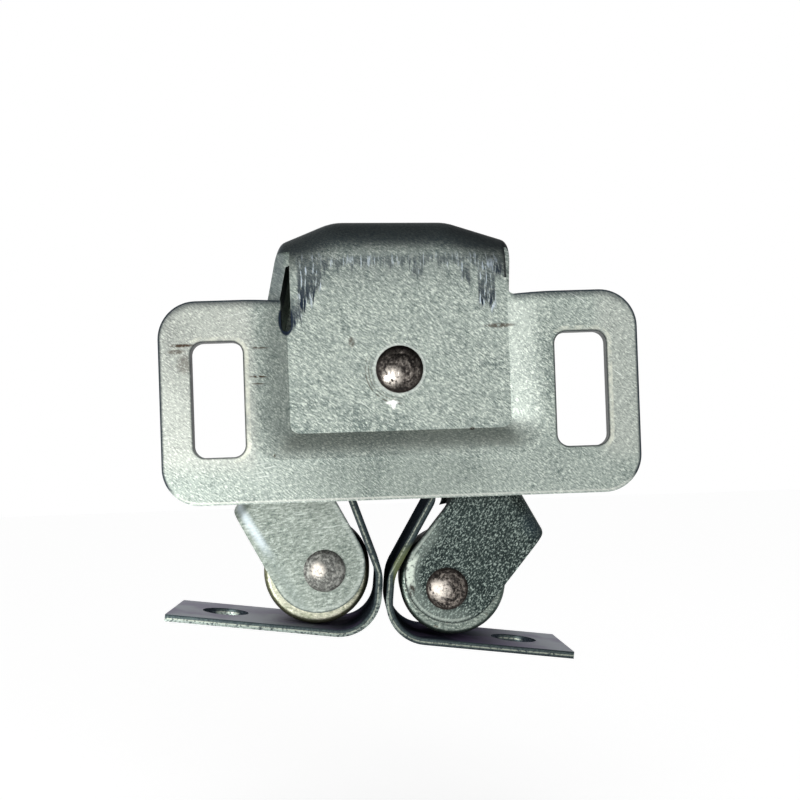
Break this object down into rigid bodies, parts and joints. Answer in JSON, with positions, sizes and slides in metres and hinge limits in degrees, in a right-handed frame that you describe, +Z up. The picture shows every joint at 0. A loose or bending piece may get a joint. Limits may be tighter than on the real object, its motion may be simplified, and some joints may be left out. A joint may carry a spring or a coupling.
{
  "type": "cabinet roller catch",
  "caption": "Cabinet roller catch: a folded steel mounting plate with a hood, spring-closed arms with loose rollers, and a bent strip strike gripped between them.",
  "frame": {"origin": "middle of the two screw slots, on the wings' face that lies on the cabinet", "axes": "+X along the plate, +Z up the plate and away from the rollers, +Y away from the cabinet's surface"},
  "size_m": [0.0489, 0.0162, 0.0463],
  "materials": {
    "plate_zinc": "satin",
    "arm_zinc": "satin",
    "dark_arm_zinc": "satin",
    "rivet_steel": "peened",
    "roller_steel": "satin",
    "spring_steel": "drawn",
    "strike_zinc": "satin"
  },
  "bodies": {
    "catch_body": {"mounting_plate": "plate_zinc", "pivot_rivet": "rivet_steel", "spring": "spring_steel"},
    "left_lever": {"left_arm": "arm_zinc", "left_roller_pin": "rivet_steel"},
    "right_lever": {"right_arm": "dark_arm_zinc", "right_roller_pin": "rivet_steel"},
    "left_wheel": {"left_roller": "roller_steel"},
    "right_wheel": {"right_roller": "roller_steel"},
    "strike": {"strike": "strike_zinc"}
  },
  "joints": [
    {"name": "strike_pull", "type": "slide", "parent": "catch_body", "child": "strike", "axis": [-0.1045, 0, -0.9945], "range_m": [0, 0.0125]},
    {"name": "left_arm_swing", "type": "hinge", "parent": "catch_body", "child": "left_lever", "pos_m": [0, 0.00813, 0.0026], "axis": [0, 1, 0], "range_deg": [0, 20], "stiffness_Nm_per_rad": 0.1, "springref_deg": -40.11, "deforming": ["spring"]},
    {"name": "right_arm_swing", "type": "hinge", "parent": "catch_body", "child": "right_lever", "pos_m": [0, 0.00813, 0.0026], "axis": [0, -1, 0], "range_deg": [0, 20], "stiffness_Nm_per_rad": 0.1, "springref_deg": -40.11},
    {"name": "left_roller_spin", "type": "hinge", "parent": "left_lever", "child": "left_wheel", "pos_m": [-0.00927, 0.00813, -0.01781], "axis": [0, 1, 0], "continuous": true},
    {"name": "right_roller_spin", "type": "hinge", "parent": "right_lever", "child": "right_wheel", "pos_m": [0.00483, 0.00813, -0.01929], "axis": [0, 1, 0], "continuous": true}
  ],
  "couplings": [
    {"joint": "left_arm_swing", "follows": "strike_pull", "rad_per_m": 27.9},
    {"joint": "right_arm_swing", "follows": "strike_pull", "rad_per_m": 27.9}
  ]
}
